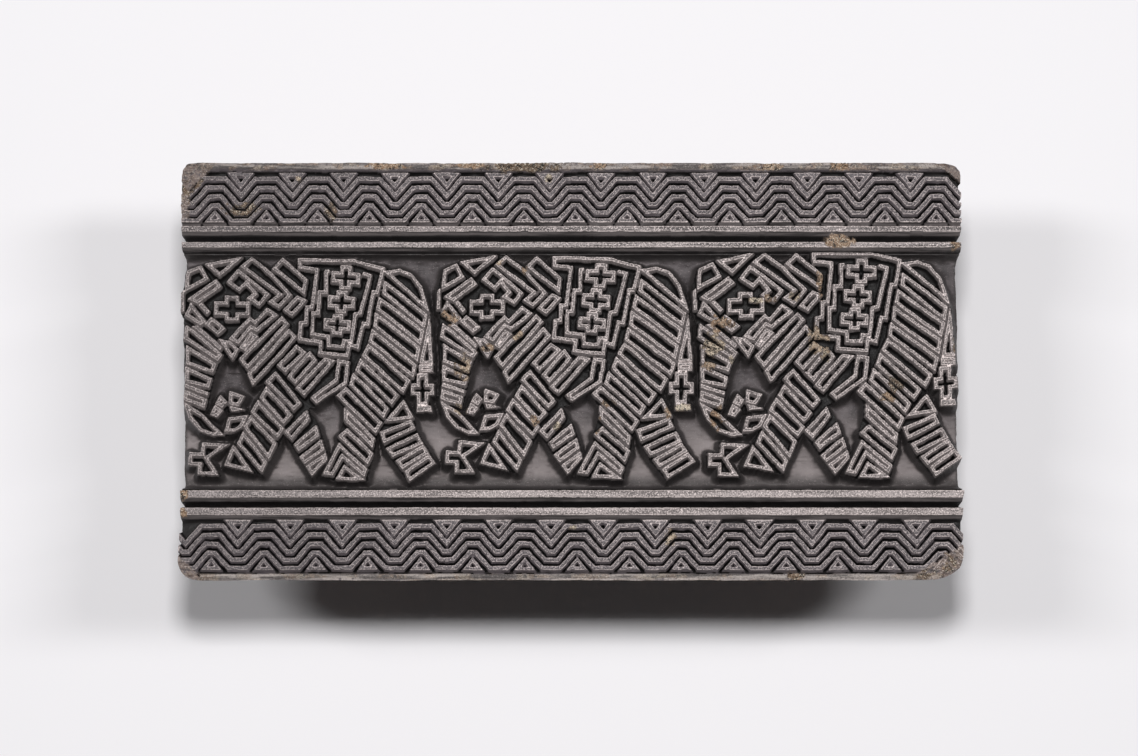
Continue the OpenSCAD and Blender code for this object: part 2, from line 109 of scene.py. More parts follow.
bpy.ops.object.select_all(action="DESELECT")
bpy.ops.mesh.primitive_plane_add(size=6, location=(0, 0, 0))
paper = bpy.context.object
paper.name = "paper_floor"
paper_finish, paper_shader = new_finish("pale_paper")
paper_shader.inputs["Base Color"].default_value = (0.87, 0.855, 0.875, 1)
paper_shader.inputs["Roughness"].default_value = 0.9
paper_shader.inputs["Specular IOR Level"].default_value = 0.1
paper.data.materials.append(paper_finish)
print("floor:", paper.name)

# %% [markdown]
# ## Light
#
# The main soft box hangs almost overhead, a little towards the far edge, and leaves the dark
# shadow along the near edge. Two high soft boxes to the left and right lift the ends of that
# shadow and leave a faint one on either side. The sky is kept dim, because the cuts in the
# photograph are almost black.


# %% Light
def soft_box(name, place, size_x, size_y, power):
    """A rectangular lamp that faces the middle of the block."""
    data = bpy.data.lights.new(name, "AREA")
    data.shape = "RECTANGLE"
    data.size = size_x
    data.size_y = size_y
    data.energy = power
    lamp = bpy.data.objects.new(name, data)
    bpy.context.scene.collection.objects.link(lamp)
    lamp.location = place
    block_middle = Vector((0, 0, 0.03))
    lamp.rotation_euler = (block_middle - Vector(place)).to_track_quat("-Z", "Y").to_euler()


soft_box("overhead_soft_box", (0, 0.147, 1.2), size_x=0.12, size_y=0.14, power=7.85)
for lamp_name, lamp_x in (("left_soft_box", -0.62), ("right_soft_box", 0.62)):
    soft_box(lamp_name, (lamp_x, 0.15, 1.1), size_x=0.14, size_y=0.4, power=4.6)
sky = bpy.data.worlds.new("dim_sky")
sky.use_nodes = True
sky_light = sky.node_tree.nodes["Background"]
sky_light.inputs["Color"].default_value = (0.9, 0.9, 0.95, 1)
sky_light.inputs["Strength"].default_value = 0.035
bpy.context.scene.world = sky

# %% [markdown]
# ## Reading the pattern
#
# The solid plank already has every line of the pattern at the right place, with plain upright
# walls. Its flat tops are the printing lines. The edges that belong to only one top triangle are
# the outlines of these lines.


# %% Outlines of the printing lines
def mesh_points(mesh):
    """The points of a mesh, one row each, in metres."""
    points = np.empty(len(mesh.vertices) * 3, np.float32)
    mesh.vertices.foreach_get("co", points)
    return points.reshape(-1, 3)


plank_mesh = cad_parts["carved_plank"].data
plank_mesh.calc_loop_triangles()
plank_points = mesh_points(plank_mesh) / MM
plank_triangles = np.empty(len(plank_mesh.loop_triangles) * 3, np.int32)
plank_mesh.loop_triangles.foreach_get("vertices", plank_triangles)
plank_triangles = plank_triangles.reshape(-1, 3)

face_z = float(plank_points[:, 2].max())
back_z = float(plank_points[:, 2].min())
top_slack = 0.01
at_top = plank_points[plank_triangles][:, :, 2].min(axis=1) > face_z - top_slack
flat_points, flat_index = np.unique(np.round(plank_points[:, :2], 3), axis=0, return_inverse=True)
tops = flat_index.reshape(-1)[plank_triangles[at_top]]
edges = np.sort(np.concatenate([tops[:, [0, 1]], tops[:, [1, 2]], tops[:, [2, 0]]]), axis=1)
edges, uses = np.unique(edges, axis=0, return_counts=True)
outline_a = flat_points[edges[uses == 1][:, 0]]
outline_b = flat_points[edges[uses == 1][:, 1]]
outline_length = np.linalg.norm(outline_b - outline_a, axis=1)
print("outline edges:", len(outline_a), "length:", round(outline_length.sum() / 1000, 1), "m")

# %% [markdown]
# ## Search trees
#
# The outlines are sampled finely and kept in a search tree, so that the nearest outline of any
# point can be found quickly. A second tree holds the solid itself, to find its height.


# %% Search trees
def search_tree(points, numbers):
    """A tree that finds the number of the nearest of some points on the face."""
    found_tree = kdtree.KDTree(len(points))
    for (x, y), number in zip(points, numbers):
        found_tree.insert((x, y, 0), number)
    found_tree.balance()
    return found_tree


sample_step = 0.08
sample_count = np.ceil(outline_length / sample_step).astype(int) + 1
sample_edge = np.repeat(np.arange(len(outline_a)), sample_count)
first_sample = np.cumsum(sample_count) - sample_count
sample_rank = np.arange(len(sample_edge)) - np.repeat(first_sample, sample_count)
sample_share = (sample_rank / (sample_count[sample_edge] - 1))[:, None]
samples = outline_a[sample_edge] * (1 - sample_share) + outline_b[sample_edge] * sample_share
outline_tree = search_tree(samples, range(len(samples)))
solid_tree = BVHTree.FromPolygons(plank_points.tolist(), plank_triangles.tolist())
print("outline samples:", len(samples))

# %% [markdown]
# ## Hand-made unevenness
#
# Nothing on a hand-cut block is quite straight. A smooth random field gives every edge a small
# wander, the cuts their changing depth and the sides their tool marks. The field is a table of
# seeded random numbers, read between its points, so each run gives the same block.

# %% A smooth random field
table_size = 128


def soften(share):
    """A share from 0 to 1 with soft ends."""
    return share * share * (3 - 2 * share)


def uneven(x, y, size, seed):
    """Values from -1 to 1 that change smoothly over the given size in millimetres."""
    table = np.random.default_rng(seed).uniform(-1, 1, (table_size, table_size))
    u, v = np.asarray(x) / size, np.asarray(y) / size
    i, j = np.floor(u).astype(int), np.floor(v).astype(int)
    s, t = soften(u - i), soften(v - j)
    i, j = i % (table_size - 1), j % (table_size - 1)
    near_row = table[i, j] * (1 - s) + table[i + 1, j] * s
    far_row = table[i, j + 1] * (1 - s) + table[i + 1, j + 1] * s
    return near_row * (1 - t) + far_row * t


def ease(value, start, end):
    """0 at start, 1 at end, with soft ends between."""
    return soften(np.clip((value - start) / (end - start), 0, 1))


print("field at the middle:", round(float(uneven(0.5, 0.5, size=3, seed=1)), 3))

# %% [markdown]
# ## The sheet of the face
#
# The face starts as a sheet of small squares. Its border follows the worn outline of the block:
# each corner is rounded in its own way and the ends wander. Rows near the ends are squeezed a
# little to meet the outline, while the pattern stays where it is.

# %% Sheet
sheet_pitch = 0.25
half_l, half_w = 101.0, 54.0
end_x, end_wander = 100.7, 0.25
columns = np.linspace(-half_l, half_l, round(2 * half_l / sheet_pitch) + 1)
rows = np.linspace(-half_w, half_w, round(2 * half_w / sheet_pitch) + 1)
sheet_x, sheet_y = np.meshgrid(columns, rows, indexing="ij")

# Length and width of each rounded corner in millimetres, by its end and its edge of the block.
corner_round = {(-1, -1): (5.0, 4.5), (1, -1): (10.0, 6.5), (1, 1): (4.5, 4.0), (-1, 1): (3.2, 3.2)}


def end_reach(side, y):
    """How far the block reaches at its left or right end, at the height y on the face."""
    broad = uneven(y, 7.3, size=6.0, seed=20 + side)
    fine = uneven(y, 3.1, size=1.3, seed=30 + side)
    reach = end_x - end_wander + end_wander * broad + 0.12 * fine
    for (end, edge), (corner_l, corner_w) in corner_round.items():
        if end == side:
            turn = np.clip((edge * y - half_w + corner_w) / corner_w, 0, 1)
            reach = reach - corner_l * (1 - np.sqrt(1 - turn * turn))
    return reach


end_squeeze, edge_squeeze, edge_inset = 32.0, 5.0, 0.19
for sign in (-1, 1):
    pull = ease(sign * sheet_x, half_l - end_squeeze, half_l)
    sheet_x = sheet_x + sign * pull * (end_reach(sign, sheet_y) - half_l)
for sign in (-1, 1):
    pull = ease(sign * sheet_y, half_w - edge_squeeze, half_w)
    broad = uneven(sheet_x, 1.7 * sign, size=11.0, seed=41)
    fine = uneven(sheet_x, 5.0 * sign, size=2.2, seed=42)
    sheet_y = sheet_y + sign * pull * (0.12 * broad + 0.06 * fine - edge_inset)
print("sheet:", sheet_x.shape, "points")

# %% [markdown]
# ## Nearest outline
#
# Every point of the sheet now learns how far it is from the nearest outline and whether it lies
# on a line or in a cut. The solid is read where the knife has strayed to, always a little inside
# its outline, because its rims are chamfered.

# %% Distances
field_edge, band_edge = 30.3, 38.7
in_rails = (np.abs(sheet_y) > field_edge) & (np.abs(sheet_y) < band_edge)
in_bands = np.abs(sheet_y) >= band_edge
# The rails are straighter than the figures and the bands.
free_hand = np.where(in_rails, 0.4, 1.0)


def over_sheet(size, seed):
    """The uneven field at the points of the sheet."""
    return uneven(sheet_x, sheet_y, size, seed)


def hand_wander(seed):
    """How far the knife strays at each point of the sheet, in millimetres."""
    broad, fine = over_sheet(size=4.1, seed=seed), over_sheet(size=1.1, seed=seed + 1)
    return free_hand * (0.13 * broad + 0.06 * fine)


def nearest_outline(x, y):
    """The nearest outline point of each point, and the distance to it."""
    found = np.array([outline_tree.find((a, b, 0))[1] for a, b in zip(x.ravel(), y.ravel())])
    a, b = outline_a[sample_edge[found]], outline_b[sample_edge[found]]
    step = b - a
    toward = (x.ravel() - a[:, 0]) * step[:, 0] + (y.ravel() - a[:, 1]) * step[:, 1]
    share = toward / (step ** 2).sum(axis=1)
    spot = a + np.clip(share, 0, 1)[:, None] * step
    far = np.hypot(spot[:, 0] - x.ravel(), spot[:, 1] - y.ravel())
    return spot[:, 0].reshape(x.shape), spot[:, 1].reshape(x.shape), far.reshape(x.shape)


def solid_level(x, y):
    """Height of the solid plank under each point, or of its back where there is none."""
    above, down = face_z + 5, Vector((0, 0, -1))
    hits = [solid_tree.ray_cast(Vector((a, b, above)), down)[0] for a, b in zip(x.ravel(), y.ravel())]
    return np.array([back_z if hit is None else hit.z for hit in hits]).reshape(x.shape)


rim_inset = 0.7
read_x = np.clip(sheet_x + hand_wander(1), rim_inset - half_l, half_l - rim_inset)
read_y = np.clip(sheet_y + hand_wander(3), rim_inset - half_w, half_w - rim_inset)
near_x, near_y, near = nearest_outline(read_x, read_y)
level = solid_level(read_x, read_y)
line_slack = 0.1
on_line = level > face_z - line_slack
print("points over lines:", int(on_line.sum()))

# %% [markdown]
# ## Clean edges
#
# Lines on the worn block are a little wider or narrower than in the solid. Points close to the
# edge of a line are moved onto it, so that the edges come out clean and not in steps.

# %% Edges of the lines
line_spread = np.select([in_rails, in_bands], [-0.17, -0.12], 0.01)
snap_reach, least_gap = 0.42 * sheet_pitch, 0.02
away = np.where(on_line, -near, near) - line_spread
inner = np.zeros(sheet_x.shape, bool)
inner[1:-1, 1:-1] = True
snapped = (np.abs(away) < snap_reach) & (near > least_gap) & inner
step_out = np.where(snapped, away * np.where(on_line, -1, 1) / np.maximum(near, least_gap), 0)
sheet_x = sheet_x + step_out * (near_x - read_x)
sheet_y = sheet_y + step_out * (near_y - read_y)
away = np.where(snapped, 0, away)
print("points moved onto edges:", int(snapped.sum()), "points on lines:", int((away < 0).sum()))

# %% [markdown]
# ## Walls of the cuts
#
# A carver holds the knife in one hand and leans it the same way along every line: the wall on the
# near side of a line slopes, and the one on the far side stands almost upright. The depth at a
# point is the least that any line allows there, so it is found by letting every line spread its
# slope to its neighbours step by step. A margin round the sheet keeps one end of the block from
# reaching the other.

# %% Walls
open_limit = 4.0
open_ground = level < face_z - open_limit
# Fall of a wall and its lean, in the rails, the bands, the open ground and then the figures.
fall = np.select([in_rails, in_bands, open_ground], [5.0, 6.5, 6.0], 4.8)
lean = np.select([in_rails, in_bands, open_ground], [3.8, 4.5, 1.4], 3.1)
gap = np.maximum(away, 0)
gap_y = gap * (read_y - near_y) / np.maximum(near, least_gap)
wall_reach, no_wall = 0.6, 99.0
wall = np.where(on_line | (gap < wall_reach), fall * gap + lean * gap_y, no_wall)

margin, spread_steps = 30, 9
wall = np.pad(wall, margin, constant_values=no_wall)
fall_wide = np.pad(fall, margin, "edge")
lean_wide = np.pad(lean, margin, "edge")
for spread_step in range(spread_steps):
    for i in range(-2, 3):
        for j in range(-2, 3):
            if abs(i) + abs(j) > 0:
                slope = sheet_pitch * (fall_wide * math.hypot(i, j) + lean_wide * j)
                wall = np.minimum(wall, np.roll(wall, (i, j), (0, 1)) + slope)
wall = wall[margin:-margin, margin:-margin]
print("open ground:", round(100 * float(open_ground.mean())), "% of the face")

# %% [markdown]
# ## Floors of the cuts
#
# A narrow cut has a gentle flank at the top and a steep dark slot below it, and ends where its
# walls meet or on an uneven floor. The open ground is cut back much deeper and keeps the marks
# of the gouge. The edges of the lines are worn down a little and nicked.

# %% Depth below the printing plane
fine_depth = 3.4 + 0.5 * over_sheet(size=2.5, seed=6)
gouge_marks = 0.16 * uneven(sheet_x * 0.6, sheet_y * 1.6, size=0.9, seed=8)
open_depth = 7.4 + 0.35 * over_sheet(size=3.2, seed=7) + gouge_marks
deepest = np.where(open_ground, open_depth, fine_depth)
wall = wall * (1 + 0.15 * free_hand * over_sheet(size=2.0, seed=5))
flank_depth = np.where(in_rails, 1.35, 1.15)
slot_fall = np.where(open_ground & ~in_rails, 0.0, 3.0)
wall = wall + slot_fall * np.maximum(wall - flank_depth, 0)
softness = 4
cut = wall * deepest / (wall ** softness + deepest ** softness) ** (1 / softness)
edge_reach, edge_drop, flank_start = 0.28, 0.08, 0.22
worn_edge = np.clip(1 - np.abs(away) / edge_reach, 0, 1)
unevenness = 0.09 + 0.07 * over_sheet(size=9.0, seed=9) + 0.06 * over_sheet(size=0.8, seed=10)
nicks = 0.35 * free_hand * worn_edge * ease(over_sheet(size=0.65, seed=16), 0.55, 0.95)
depth = np.where(away < 0, edge_drop * worn_edge ** 2, flank_start + cut) + unevenness + nicks
print("deepest cut:", round(float(depth.max()), 2), "mm")

# %% [markdown]
# ## Chips
#
# Where lines have broken off, the pale wood under the black stain shows. The places are listed:
# middle, half sizes, depth, and the tone of the bare wood from brown through tan to cream. Each one
# gets a ragged rim and a rough floor.

# %% Chips
chips = [
    (-31.6, 13.7, 2.4, 1.5, 0.9, 0.6), (-27.6, 1.0, 1.7, 2.6, 1.0, 0.75),
    (-28.8, -10.0, 1.6, 1.3, 1.0, 0.8), (-21.6, 5.8, 2.3, 0.9, 0.7, 0.5),
    (-13.9, 9.2, 1.1, 1.0, 0.6, 0.7), (-18.6, 27.8, 1.2, 0.9, 0.5, 0.7),
    (-12.1, 26.0, 0.7, 1.2, 0.5, 0.5), (-9.4, -12.8, 1.0, 1.4, 0.6, 0.6),
    (-3.4, -14.3, 1.1, 0.9, 0.8, 0.9), (9.6, -8.3, 1.7, 0.9, 0.7, 0.65),
    (6.9, -14.5, 0.7, 2.2, 0.6, 0.45), (24.9, -10.0, 0.8, 1.6, 0.4, 0.5),
    (28.7, -9.2, 2.2, 0.8, 0.5, 0.95), (47.4, 18.1, 1.9, 0.9, 0.8, 0.95),
    (51.0, 18.6, 1.3, 1.3, 0.9, 0.3), (57.5, 19.1, 1.7, 1.3, 0.9, 0.85),
    (38.8, 12.1, 2.2, 2.4, 0.9, 0.6), (36.4, 6.7, 2.3, 2.8, 1.1, 0.85),
    (41.4, 2.9, 0.8, 0.9, 0.6, 1.0), (35.6, 1.9, 1.5, 1.9, 1.1, 0.7),
    (37.2, -12.2, 1.3, 2.6, 1.0, 0.5), (63.3, 7.6, 2.4, 3.4, 1.2, 0.75),
    (65.3, 4.0, 0.8, 1.2, 0.6, 1.0), (64.1, 21.8, 0.9, 2.8, 0.7, 0.6),
    (81.4, -6.6, 1.6, 1.1, 0.8, 0.65), (83.3, -3.1, 2.1, 1.6, 0.9, 0.2),
    (99.5, 8.1, 1.2, 3.6, 1.2, 0.3), (-26.0, 53.0, 4.0, 0.7, 0.5, 0.6),
    (-5.8, 49.6, 0.9, 0.9, 0.5, 1.0), (-70.4, 49.4, 0.7, 0.7, 0.4, 0.75),
    (-84.6, 41.6, 4.0, 1.5, 0.6, 0.2), (-61.9, 41.2, 1.2, 2.0, 0.6, 0.2),
    (0.4, -40.6, 0.8, 0.7, 0.5, 0.9), (-13.0, 52.7, 9.0, 1.2, 0.9, 0.2),
    (-48.6, 53.0, 4.6, 0.7, 0.7, 0.5), (7.3, 53.0, 1.6, 0.8, 0.6, 0.5),
    (51.0, 52.8, 2.9, 1.0, 0.9, 0.7), (69.4, 52.8, 2.6, 1.0, 0.9, 0.5),
    (25.4, -42.6, 1.2, 1.8, 0.7, 0.8), (-99.4, -31.6, 1.0, 1.3, 0.8, 0.5),
    (-99.4, -36.1, 1.0, 1.3, 0.8, 0.5), (58.0, -52.5, 2.3, 1.1, 0.9, 0.3),
    (91.0, -52.2, 2.6, 1.3, 1.0, 0.15), (97.2, -49.6, 1.7, 2.2, 1.0, 0.2),
    (98.0, -51.4, 3.2, 2.4, 0.6, 0.35), (-98.6, 48.5, 2.6, 3.4, 0.9, 0.2),
    (98.8, 33.0, 1.4, 1.5, 0.8, 0.4),
]
chip_spread = 1.25
bare = np.zeros(sheet_x.shape)
bare_tone = np.zeros(sheet_x.shape)


def with_bare(shown, tone):
    """The bare wood of the face and its tone, with one more worn place."""
    return np.maximum(bare, shown), np.where(shown > bare, tone, bare_tone)


ragged = 0.38 * over_sheet(size=1.2, seed=11) + 0.3 * over_sheet(size=0.5, seed=12)
for chip_x, chip_y, chip_l, chip_w, chip_depth, chip_tone in chips:
    chip_far = np.hypot((sheet_x - chip_x) / chip_l, (sheet_y - chip_y) / chip_w) / chip_spread + ragged
    chip_inside = ease(chip_far, 1.0, 0.7)
    chip_floor = chip_depth * (0.75 + 0.6 * over_sheet(size=0.6, seed=13))
    depth = np.where(chip_inside > 0, np.maximum(depth, chip_floor * chip_inside), depth)
    chip_shown = chip_inside * ease(depth, chip_floor + 1.2, chip_floor + 0.3)
    bare, bare_tone = with_bare(chip_shown, chip_tone)
print("chips:", len(chips))

# %% [markdown]
# ## Plug and rough corners
#
# A plug of bare wood fills the upper groove above the last elephant. The rounded corners and the
# upper left end were left as plain rough wood, nearly level with the lines.

# %% Plug and corners
plug_x, plug_y, plug_l, plug_w, plug_tone = 68.9, 33.6, 4.4, 1.9, 0.4
plug_far = np.hypot((sheet_x - plug_x) / plug_l, (sheet_y - plug_y) / plug_w) + 0.4 * ragged
plug = ease(plug_far, 1.05, 0.85)
plug_depth = 0.55 + 0.4 * uneven(sheet_x * 0.5, sheet_y, size=0.8, seed=24)
depth = depth * (1 - plug) + plug_depth * plug
bare, bare_tone = with_bare(plug, plug_tone)

# Size of the plain wood at a corner, as a share of its rounding.
plain_size = {(-1, -1): 1.6, (1, -1): 1.6, (1, 1): 1.6, (-1, 1): 3.2}
plain_bare, plain_tone = 0.4, 0.35
plain = np.zeros(sheet_x.shape)
for corner, (corner_l, corner_w) in corner_round.items():
    beyond = (corner[0] * sheet_x - half_l) / corner_l + (corner[1] * sheet_y - half_w) / corner_w
    plain = np.maximum(plain, ease(beyond + plain_size[corner] + 0.2 * ragged, 0, 0.15))
left_end = ease(sheet_x + 1.5 * ragged, -98.3, -98.8) * ease(sheet_y + ragged, 39.0, 40.0)
plain = np.maximum(plain, left_end)
rough_wood = 0.6 + 0.45 * uneven(sheet_x * 0.5, sheet_y * 1.5, size=0.8, seed=17)
rough_wood = rough_wood + 0.3 * over_sheet(size=0.5, seed=18)
depth = np.where(plain > 0.5, np.minimum(depth, rough_wood), depth)
bare, bare_tone = with_bare(plain_bare * plain, plain_tone)
print("plain wood:", round(100 * float((plain > 0.5).mean()), 2), "% of the face")

# %% [markdown]
# ## Worn rims
#
# The far rim is worn down in patches, where bare wood shows. The near rim has some bare patches
# too. With that the height of every point of the face is known.

# %% Rims
far_patches = uneven(sheet_x, sheet_y * 3, size=3.5, seed=19) + 0.5 * ragged
rim_wear = ease(sheet_y, 51.6, 52.3) * ease(far_patches, 0.0, 0.5)
depth = depth + 0.3 * rim_wear * (1 + over_sheet(size=1.1, seed=21))
rim_tone = 0.72 + 0.28 * over_sheet(size=2.3, seed=22)
near_patches = uneven(sheet_x * 0.6, sheet_y * 2, size=2.4, seed=23)
near_wear = ease(-sheet_y, 51.7, 52.3) * ease(near_patches, 0.0, 0.4)
rim_wear = np.maximum(rim_wear, 0.6 * near_wear)
bare_tone = np.where(rim_wear > bare, rim_tone, bare_tone)
bare = np.maximum(bare, 0.5 * rim_wear)
height = np.minimum(face_z - depth, face_z)
print("bare wood:", round(100 * float((bare > 0.5).mean()), 2), "% of the face")

# %% [markdown]
# ## Leaning sides
#
# The sides of the plank lean inward towards the back. Where the border of the face is cut deep,
# its last lines of points are drawn in by the same lean. Below the border come rings of points
# with tool marks, down to a slightly rounded edge at the back.

# %% Sides
side_lean = 3.0 / 24.0
back_round, side_inset = 0.6, 0.25
ring_heights = np.array([54.0, 51.0, 48.0, 45.0, 42.5, 40.8, back_z])
last_i, last_j = sheet_x.shape[0] - 1, sheet_x.shape[1] - 1
lean_lines = 4
for line_number in range(lean_lines):
    fade = (1 - line_number / lean_lines) * side_lean
    for line in (np.s_[line_number, :], np.s_[last_i - line_number, :]):
        sheet_x[line] -= np.sign(sheet_x[line]) * fade * depth[line]
    for line in (np.s_[:, line_number], np.s_[:, last_j - line_number]):
        sheet_y[line] -= np.sign(sheet_y[line]) * fade * depth[line]


def side_ring(x, y, start, z, outer):
    """Where border points that start at some height come to lie at the height z of a ring."""
    inward = side_lean * (start - z) + np.where(z < back_z + 0.1, back_round, 0)
    around = x * 0.9 + y * 1.3
    broad = uneven(around, z * 2.2, size=4.0, seed=14)
    fine = uneven(around, z * 3.0, size=1.1, seed=15)
    inward = inward + np.where(outer, 0.15 * broad + 0.1 * fine + side_inset, 0)
    return np.stack([x * (1 - inward / half_l), y * (1 - inward / half_w), z], axis=1)


print("rings down each side:", len(ring_heights))

# %% [markdown]
# ## Closing the plank
#
# The plank is made of five closed pieces that meet edge to edge: the two zigzag bands and one
# field for each elephant. Each piece starts as a grid, takes its points from the sheet, and its
# border is pulled down in rings to the back and filled.

# %% Plank pieces
face_values = {
    "bare": bare,
    "bare_tone": bare_tone,
    "worn_edge": worn_edge,
    "open_ground": open_ground & ~in_rails,
}


def set_points(mesh, place):
    """Moves the points of a mesh to places in millimetres."""
    mesh.vertices.foreach_set("co", (place * MM).astype(np.float32).ravel())
    mesh.update()


def grid_over(name, i0, i1, j0, j1):
    """A grid over a range of the sheet, with the sheet column and row of each of its points."""
    bpy.ops.object.select_all(action="DESELECT")
    bpy.ops.mesh.primitive_grid_add(x_subdivisions=i1 - i0, y_subdivisions=j1 - j0, size=2)
    piece = bpy.context.object
    piece.name = name
    flat = mesh_points(piece.data)
    i = i0 + np.rint((flat[:, 0] + 1) / 2 * (i1 - i0)).astype(int)
    j = j0 + np.rint((flat[:, 1] + 1) / 2 * (j1 - j0)).astype(int)
    return piece, i, j


def pull_down(rings):
    """Pulls the border of the active grid down by a metre for each ring, and fills the last."""
    bpy.ops.object.mode_set(mode="EDIT")
    bpy.ops.mesh.select_mode(type="EDGE")
    bpy.ops.mesh.select_all(action="DESELECT")
    bpy.ops.mesh.select_non_manifold(extend=False)
    for ring in range(rings):
        bpy.ops.mesh.extrude_region_move(TRANSFORM_OT_translate={"value": (0, 0, -1)})
    bpy.ops.mesh.edge_face_add()
    bpy.ops.object.mode_set(mode="OBJECT")


def plank_piece(name, i0, i1, j0, j1):
    """One closed piece of the plank over a range of the sheet."""
    piece, i, j = grid_over(name, i0, i1, j0, j1)
    mesh = piece.data
    top = np.stack([sheet_x[i, j], sheet_y[i, j], height[i, j]], axis=1)
    set_points(mesh, top)
    for label, values in face_values.items():
        layer = mesh.attributes.new(label, "FLOAT", "POINT")
        layer.data.foreach_set("value", values[i, j].astype(np.float32))
    border = np.flatnonzero((i == i0) | (i == i1) | (j == j0) | (j == j1))
    border_tree = search_tree(top[border, :2], border)
    pull_down(len(ring_heights))
    pulled = mesh_points(mesh)[len(top):]
    ring_number = np.rint(face_z * MM - pulled[:, 2]).astype(int) - 1
    source = np.array([border_tree.find((x / MM, y / MM, 0))[1] for x, y, z in pulled.astype(float)])
    outer = np.isin(i[source], (0, last_i)) | np.isin(j[source], (0, last_j))
    start = np.where(outer, top[source, 2], face_z)
    sides = side_ring(top[source, 0], top[source, 1], start, ring_heights[ring_number], outer)
    set_points(mesh, np.concatenate([top, sides]))
    bpy.ops.object.mode_set(mode="EDIT")
    bpy.ops.mesh.select_all(action="SELECT")
    bpy.ops.mesh.normals_make_consistent(inside=False)
    bpy.ops.object.mode_set(mode="OBJECT")
    bpy.ops.object.shade_smooth_by_angle(angle=math.radians(60))
    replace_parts(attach(piece, "root"), "carved_plank")
    return piece


def column_at(x):
    """The sheet column at a length along the block."""
    return round((x + half_l) / sheet_pitch)


def row_at(y):
    """The sheet row at a width across the block."""
    return round((y + half_w) / sheet_pitch)


field_low, field_high = row_at(-33.75), row_at(31.0)
first_seam, second_seam = column_at(-33.75), column_at(33.5)
plank_pieces = [
    plank_piece("upper_band", 0, last_i, field_high, last_j),
    plank_piece("lower_band", 0, last_i, 0, field_low),
    plank_piece("leading_elephant", 0, first_seam, field_low, field_high),
    plank_piece("middle_elephant", first_seam, second_seam, field_low, field_high),
    plank_piece("last_elephant", second_seam, last_i, field_low, field_high),
]
print("triangles:", [sum(len(p.vertices) - 2 for p in o.data.polygons) for o in plank_pieces])

# %% [markdown]
# ## Cleats and grip bar
#
# Behind the plank two cleats run across its grain and stop it from warping. A bar notched over
# them leaves room for the fingers. All three are planed stock with broken edges; the bar is worn
# thinner in the middle by the hand. Each starts as a cube over the box of its solid, gets its
# edges rounded and its faces divided, and is made slightly uneven, always towards the inside.


# %% Wooden pieces behind the plank
def select_only(piece):
    """Makes one piece the only selected one and the active one."""
    bpy.ops.object.select_all(action="DESELECT")
    bpy.context.view_layer.objects.active = piece
    piece.select_set(True)


def block_over(name, low, high):
    """A cube stretched over a box, with its place in its mesh."""
    bpy.ops.object.select_all(action="DESELECT")
    bpy.ops.mesh.primitive_cube_add(size=1, location=(low + high) / 2)
    block = bpy.context.object
    block.name = name
    block.scale = high - low
    bpy.ops.object.transform_apply(location=True, rotation=True, scale=True)
    return block


def round_and_divide(block, offset, cuts):
    """Rounds every edge of a block and divides its faces."""
    select_only(block)
    bpy.ops.object.mode_set(mode="EDIT")
    bpy.ops.mesh.select_all(action="SELECT")
    bpy.ops.mesh.bevel(offset=offset, segments=4, affect="EDGES")
    bpy.ops.mesh.select_all(action="SELECT")
    bpy.ops.mesh.subdivide(number_cuts=cuts)
    bpy.ops.object.mode_set(mode="OBJECT")


def hand_worn(block, seed, amount):
    """Moves the points of a block inward by uneven amounts, in millimetres."""
    place = mesh_points(block.data) / MM
    middle = (place.max(axis=0) + place.min(axis=0)) / 2
    x, y, z = place.T
    worn = amount * (0.5 + 0.5 * uneven(x + 0.7 * z, y + 0.4 * z, size=9.0, seed=seed))
    place[:, 0] -= np.sign(x - middle[0]) * np.minimum(worn, np.abs(x - middle[0]))
    place[:, 1] -= np.sign(y - middle[1]) * np.minimum(worn, np.abs(y - middle[1]))
    set_points(block.data, place)


def cut_away(block, cutter):
    """Cuts one piece out of another and removes the cutter."""
    step = block.modifiers.new("cut", "BOOLEAN")
    step.operation = "DIFFERENCE"
    step.object = cutter
    select_only(block)
    bpy.ops.object.modifier_apply(modifier=step.name)
    bpy.data.objects.remove(cutter)


bar = block_over("worn_grip_bar", *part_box("grip_bar"))
round_and_divide(bar, offset=4 * MM, cuts=9)
bar_place = mesh_points(bar.data) / MM
waist_depth, waist_l = 0.07, 34
bar_place[:, 1] *= 1 - waist_depth * np.exp(-((bar_place[:, 0] / waist_l) ** 2))
set_points(bar.data, bar_place)
hand_worn(bar, seed=51, amount=0.5)
cleats = []
for side, seed in (("left", 52), ("right", 53)):
    cleat_low, cleat_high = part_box(side + "_cleat")
    cleat = block_over("planed_" + side + "_cleat", cleat_low, cleat_high)
    round_and_divide(cleat, offset=1.2 * MM, cuts=6)
    hand_worn(cleat, seed=seed, amount=0.35)
    cleats.append(cleat)
    cut_away(bar, block_over("notch", cleat_low, cleat_high))
print("wooden pieces:", bar.name, [cleat.name for cleat in cleats])

# %% [markdown]
# ## A forged nail
#
# Hand-forged nails hold the bar to the cleats and the cleats to the plank. One nail is made from
# a short cylinder for the head, whose top is inset and drawn out into a tapering shank. The rim
# of the head is hammered out of round.

# %% First nail
head_r, head_t, shank_r = 3.1 * MM, 1.4 * MM, 1.5 * MM
# Share of the shank's length for each part of it, and how narrow the part gets.
shank_parts = ((0.45, 0.9), (0.35, 0.75), (0.2, 0.2))


def edit_faces(nail, way):
    """Starts editing the faces of a nail that look up (1) or down (-1)."""
    for polygon in nail.data.polygons:
        polygon.select = way * polygon.normal.z > 0.9
    bpy.ops.object.mode_set(mode="EDIT")
    bpy.ops.mesh.select_mode(type="FACE")


